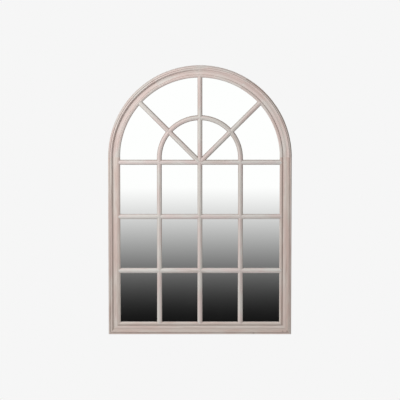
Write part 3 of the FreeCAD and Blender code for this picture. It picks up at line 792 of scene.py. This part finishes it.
def panScrewTree():
    lengths = (
        "Head Radius", "Head Height", "Slot Span", "Slot Width", "Slot Depth", "Shank Radius",
        "Shank Length")
    inputs = {**dict.fromkeys(lengths, "Float"), "Seed": "Int", "Steel": "Material"}
    tree, size, result = newTree("panScrews", inputs)
    ball = addNode(
        tree, "GeometryNodeMeshUVSphere", Segments=screws["headSides"], Rings=screws["headRings"],
        Radius=1.0).outputs["Mesh"]
    spot = addNode(tree, "GeometryNodeInputPosition").outputs[0]
    here = addNode(tree, "ShaderNodeSeparateXYZ", Vector=spot).outputs
    above = addNode(tree, "ShaderNodeMath", {"operation": "MAXIMUM"}, i0=here["Z"], i1=0.0).outputs[0]
    pan = addNode(
        tree, "ShaderNodeMath", {"operation": "POWER"}, i0=above, i1=screws["panCurve"]).outputs[0]
    dome = addNode(tree, "ShaderNodeCombineXYZ", X=here["X"], Y=here["Y"], Z=pan).outputs[0]
    stretch = addNode(
        tree, "ShaderNodeCombineXYZ", X=size["Head Radius"], Y=size["Head Radius"],
        Z=size["Head Height"]).outputs[0]
    shaped = addNode(
        tree, "ShaderNodeVectorMath", {"operation": "MULTIPLY"}, i0=dome, i1=stretch).outputs[0]
    blank = addNode(tree, "GeometryNodeSetPosition", Geometry=ball, Position=shaped).outputs[0]
    blank = addNode(
        tree, "GeometryNodeMergeByDistance", Geometry=blank, Distance=screws["weld"]).outputs[0]
    span = addNode(
        tree, "ShaderNodeMath", {"operation": "MULTIPLY"}, i0=size["Head Radius"], i1=size["Slot Span"])
    reach = addNode(
        tree, "ShaderNodeMath", {"operation": "MULTIPLY"}, i0=span.outputs[0], i1=2.0).outputs[0]
    deep = addNode(
        tree, "ShaderNodeMath", {"operation": "MULTIPLY"}, i0=size["Slot Depth"], i1=2.0).outputs[0]
    lift = addNode(tree, "ShaderNodeCombineXYZ", Z=size["Head Height"]).outputs[0]
    recess = []
    for wide, long in ((reach, size["Slot Width"]), (size["Slot Width"], reach)):
        block = addNode(tree, "ShaderNodeCombineXYZ", X=wide, Y=long, Z=deep).outputs[0]
        cutter = addNode(tree, "GeometryNodeMeshCube", Size=block).outputs["Mesh"]
        recess.append(
            addNode(tree, "GeometryNodeTransform", Geometry=cutter, Translation=lift).outputs[0])
    cut = addNode(tree, "GeometryNodeMeshBoolean", {"operation": "DIFFERENCE", "solver": "EXACT"})
    tree.links.new(blank, cut.inputs["Mesh 1"])
    for cutter in recess:
        tree.links.new(cutter, cut.inputs["Mesh 2"])
    clean = addNode(
        tree, "GeometryNodeMergeByDistance", Geometry=cut.outputs["Mesh"],
        Distance=screws["cutWeld"]).outputs[0]
    smooth = addNode(tree, "GeometryNodeSetShadeSmooth", Geometry=clean, Shade_Smooth=True).outputs[0]
    fold = addNode(tree, "GeometryNodeInputMeshEdgeAngle").outputs["Unsigned Angle"]
    crisp = addNode(
        tree, "ShaderNodeMath", {"operation": "GREATER_THAN"}, i0=fold,
        i1=math.radians(screws["creaseAngle"])).outputs[0]
    head = addNode(
        tree, "GeometryNodeSetShadeSmooth", {"domain": "EDGE"}, Geometry=smooth, Selection=crisp,
        Shade_Smooth=False)
    tip = addNode(
        tree, "ShaderNodeMath", {"operation": "MULTIPLY"}, i0=size["Shank Radius"],
        i1=screws["tipShare"]).outputs[0]
    shank = addNode(
        tree, "GeometryNodeMeshCone", Vertices=screws["shankSides"], Radius_Top=size["Shank Radius"],
        Radius_Bottom=tip, Depth=size["Shank Length"]).outputs["Mesh"]
    down = addNode(
        tree, "ShaderNodeMath", {"operation": "MULTIPLY"}, i0=size["Shank Length"], i1=-1.0).outputs[0]
    sunk = addNode(tree, "ShaderNodeCombineXYZ", Z=down).outputs[0]
    shank = addNode(tree, "GeometryNodeTransform", Geometry=shank, Translation=sunk).outputs[0]
    screw = tree.nodes.new("GeometryNodeJoinGeometry")
    for part in (shank, head.outputs[0]):
        tree.links.new(part, screw.inputs[0])
    spin = addNode(
        tree, "FunctionNodeRandomValue", {"data_type": "FLOAT"}, i2=0.0, i3=math.tau,
        Seed=size["Seed"]).outputs[1]
    turn = addNode(tree, "ShaderNodeCombineXYZ", X=-math.pi / 2, Y=spin).outputs[0]
    planted = addNode(
        tree, "GeometryNodeInstanceOnPoints", Points=size["Geometry"], Instance=screw.outputs[0],
        Rotation=turn)
    whole = addNode(tree, "GeometryNodeRealizeInstances", Geometry=planted.outputs[0]).outputs[0]
    plated = addNode(tree, "GeometryNodeSetMaterial", Geometry=whole, Material=size["Steel"]).outputs[0]
    tree.links.new(plated, result)
    return tree


def screwSeats(node):
    # one point for each screw of a CAD node, under its head
    groups = []
    for vertex in nodes[node].data.vertices:
        spot = vertex.co
        for group in groups:
            if math.hypot(spot.x - group[0].x, spot.z - group[0].z) < screws["apart"]:
                group.append(spot.copy())
                break
        else:
            groups.append([spot.copy()])
    seats = []
    for group in groups:
        xs, ys, zs = zip(*group)
        seats.append(((min(xs) + max(xs)) / 2, max(ys) - screws["headHeight"], (min(zs) + max(zs)) / 2))
    return seats


screwTree = panScrewTree()
for node in ("panel_screws", "hanger_screws"):
    seats = bpy.data.meshes.new(node + ".seats")
    seats.from_pydata(screwSeats(node), [], [])
    head = grow(node + ".panHead", screwTree, seats, {
        **screws[node], "Head Height": screws["headHeight"], "Slot Span": screws["slotSpan"],
        "Slot Width": screws["slotWidth"], "Slot Depth": screws["slotDepth"], "Steel": zinc})
    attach(head, "mirror")
    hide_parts(node)
    print(node, "planted:", len(seats.vertices))

# Studio: a pale floor well below the hung mirror, soft light from the front that leans to the left,
# one lamp from the upper left and a weaker one behind. The glass shows it dark low down and white
# above.
studio = {
    "background": "#f6f6f6",
    "floorDrop": 0.58,
    "floorRadius": 1.1,
    "floorSides": 96,
    "floorSolid": 0.4,  # of its radius, then it fades out
    "fieldWidth": 1.7457,
    "distance": 14.0,
    "elevation": 8.0,
    "aim": (0.0003, -0.036, 0.0032),
    "frontAmbient": 0.6,
    "sideAmbient": 0.18,
    "fromLeft": 1.25,
    "fromRight": 0.67,
    "reflected": 1.037,
    "horizon": -0.1353,
    "darkest": -0.17805,
    "ease": 0.3,
    "fadePower": 2.0,
    "foot": 0.0076,
    "steepFrom": -0.19,
    "steepTo": -0.42,
    "steepest": 0.45,
    "lamps": {
        "keyLamp": {"place": (-1.2, -1.45, 0.95), "size": 0.4, "power": 27.0},
        "backLamp": {"place": (1.5, 2.5, 1.0), "size": 1.6, "power": 80.0},
    },
}


def makeCamera():
    data = bpy.data.cameras.new("photoCamera")
    camera = bpy.data.objects.new("photoCamera", data)
    bpy.context.scene.collection.objects.link(camera)
    tilt = math.radians(studio["elevation"])
    aim = Vector((0, 0, middle.z)) + Vector(studio["aim"])
    camera.location = aim + studio["distance"] * Vector((0, -math.cos(tilt), math.sin(tilt)))
    camera.rotation_euler = (aim - camera.location).to_track_quat("-Z", "Y").to_euler()
    data.lens = data.sensor_width * studio["distance"] / studio["fieldWidth"]
    bpy.context.scene.camera = camera


def makeWorld():
    world = bpy.data.worlds.new("paleStudio")
    bpy.context.scene.world = world
    world.use_nodes = True
    tree = world.node_tree
    tree.nodes.clear()
    ray = addNode(tree, "ShaderNodeLightPath").outputs
    heading = addNode(tree, "ShaderNodeTexCoord").outputs["Generated"]
    aside, ahead, climb = addNode(tree, "ShaderNodeSeparateXYZ", Vector=heading).outputs
    lifts = [
        addNode(
            tree, "ShaderNodeMapRange", {"interpolation_type": kind}, Value=climb,
            From_Min=studio["darkest"], From_Max=studio["horizon"]).outputs[0]
        for kind in ("LINEAR", "SMOOTHSTEP")]
    lift = addNode(tree, "ShaderNodeMix", i0=studio["ease"], i2=lifts[0], i3=lifts[1]).outputs[0]
    fade = addNode(
        tree, "ShaderNodeMath", {"operation": "POWER"}, i0=lift, i1=studio["fadePower"]).outputs[0]
    steep = addNode(
        tree, "ShaderNodeMapRange", Value=climb, From_Min=studio["steepFrom"],
        From_Max=studio["steepTo"], To_Min=studio["foot"], To_Max=studio["steepest"]).outputs[0]
    graded = addNode(tree, "ShaderNodeMath", {"operation": "ADD"}, i0=fade, i1=steep).outputs[0]
    mirrored = addNode(
        tree, "ShaderNodeMath", {"operation": "MULTIPLY"}, i0=graded, i1=studio["reflected"]).outputs[0]
    frontal = addNode(
        tree, "ShaderNodeMapRange", Value=ahead, From_Min=0.0, From_Max=-1.0,
        To_Min=studio["sideAmbient"], To_Max=studio["frontAmbient"]).outputs[0]
    sided = addNode(
        tree, "ShaderNodeMapRange", Value=aside, From_Min=-1.0, From_Max=1.0,
        To_Min=studio["fromLeft"], To_Max=studio["fromRight"]).outputs[0]
    filled = addNode(tree, "ShaderNodeMath", {"operation": "MULTIPLY"}, i0=frontal, i1=sided).outputs[0]
    soft = addNode(tree, "ShaderNodeBackground", Color=(1, 1, 1, 1), Strength=filled).outputs[0]
    seen = addNode(tree, "ShaderNodeBackground", Color=studio["background"]).outputs[0]
    shine = addNode(tree, "ShaderNodeBackground", Color=(1, 1, 1, 1), Strength=mirrored).outputs[0]
    glossy = addNode(tree, "ShaderNodeMixShader", i0=ray["Is Glossy Ray"], i1=soft, i2=shine).outputs[0]
    direct = addNode(
        tree, "ShaderNodeMixShader", i0=ray["Is Camera Ray"], i1=glossy, i2=seen).outputs[0]
    output = tree.nodes.new("ShaderNodeOutputWorld")
    tree.links.new(direct, output.inputs["Surface"])


def makeLamps():
    for name, lamp in studio["lamps"].items():
        data = bpy.data.lights.new(name, "AREA")
        data.size = lamp["size"]
        data.energy = lamp["power"]
        stand = bpy.data.objects.new(name, data)
        bpy.context.scene.collection.objects.link(stand)
        stand.location = lamp["place"]
        stand.rotation_euler = (middle - stand.location).to_track_quat("-Z", "Y").to_euler()
        stand.visible_glossy = False


def makeFloor():
    bpy.ops.mesh.primitive_circle_add(
        vertices=studio["floorSides"], radius=studio["floorRadius"], fill_type="NGON",
        location=(0, 0, cadLow.z - studio["floorDrop"]))
    floor = bpy.context.object
    floor.name = "paleFloor"
    material, tree, surface = newMaterial("paleFloor")
    place = addNode(tree, "ShaderNodeTexCoord").outputs["Object"]
    reach = addNode(tree, "ShaderNodeVectorMath", {"operation": "LENGTH"}, i0=place).outputs["Value"]
    rim = addNode(
        tree, "ShaderNodeMapRange", {"interpolation_type": "SMOOTHSTEP"}, Value=reach,
        From_Min=studio["floorSolid"] * studio["floorRadius"],
        From_Max=studio["floorRadius"]).outputs[0]
    matt = addNode(tree, "ShaderNodeBsdfDiffuse", Color=studio["background"]).outputs[0]
    clear = addNode(tree, "ShaderNodeBsdfTransparent").outputs[0]
    mix = addNode(tree, "ShaderNodeMixShader", i0=rim, i1=matt, i2=clear).outputs[0]
    tree.links.new(mix, surface)
    wear(floor, material)


makeCamera()
makeWorld()
makeLamps()
makeFloor()
bpy.context.scene.view_settings.view_transform = "Standard"
print("studio ready")
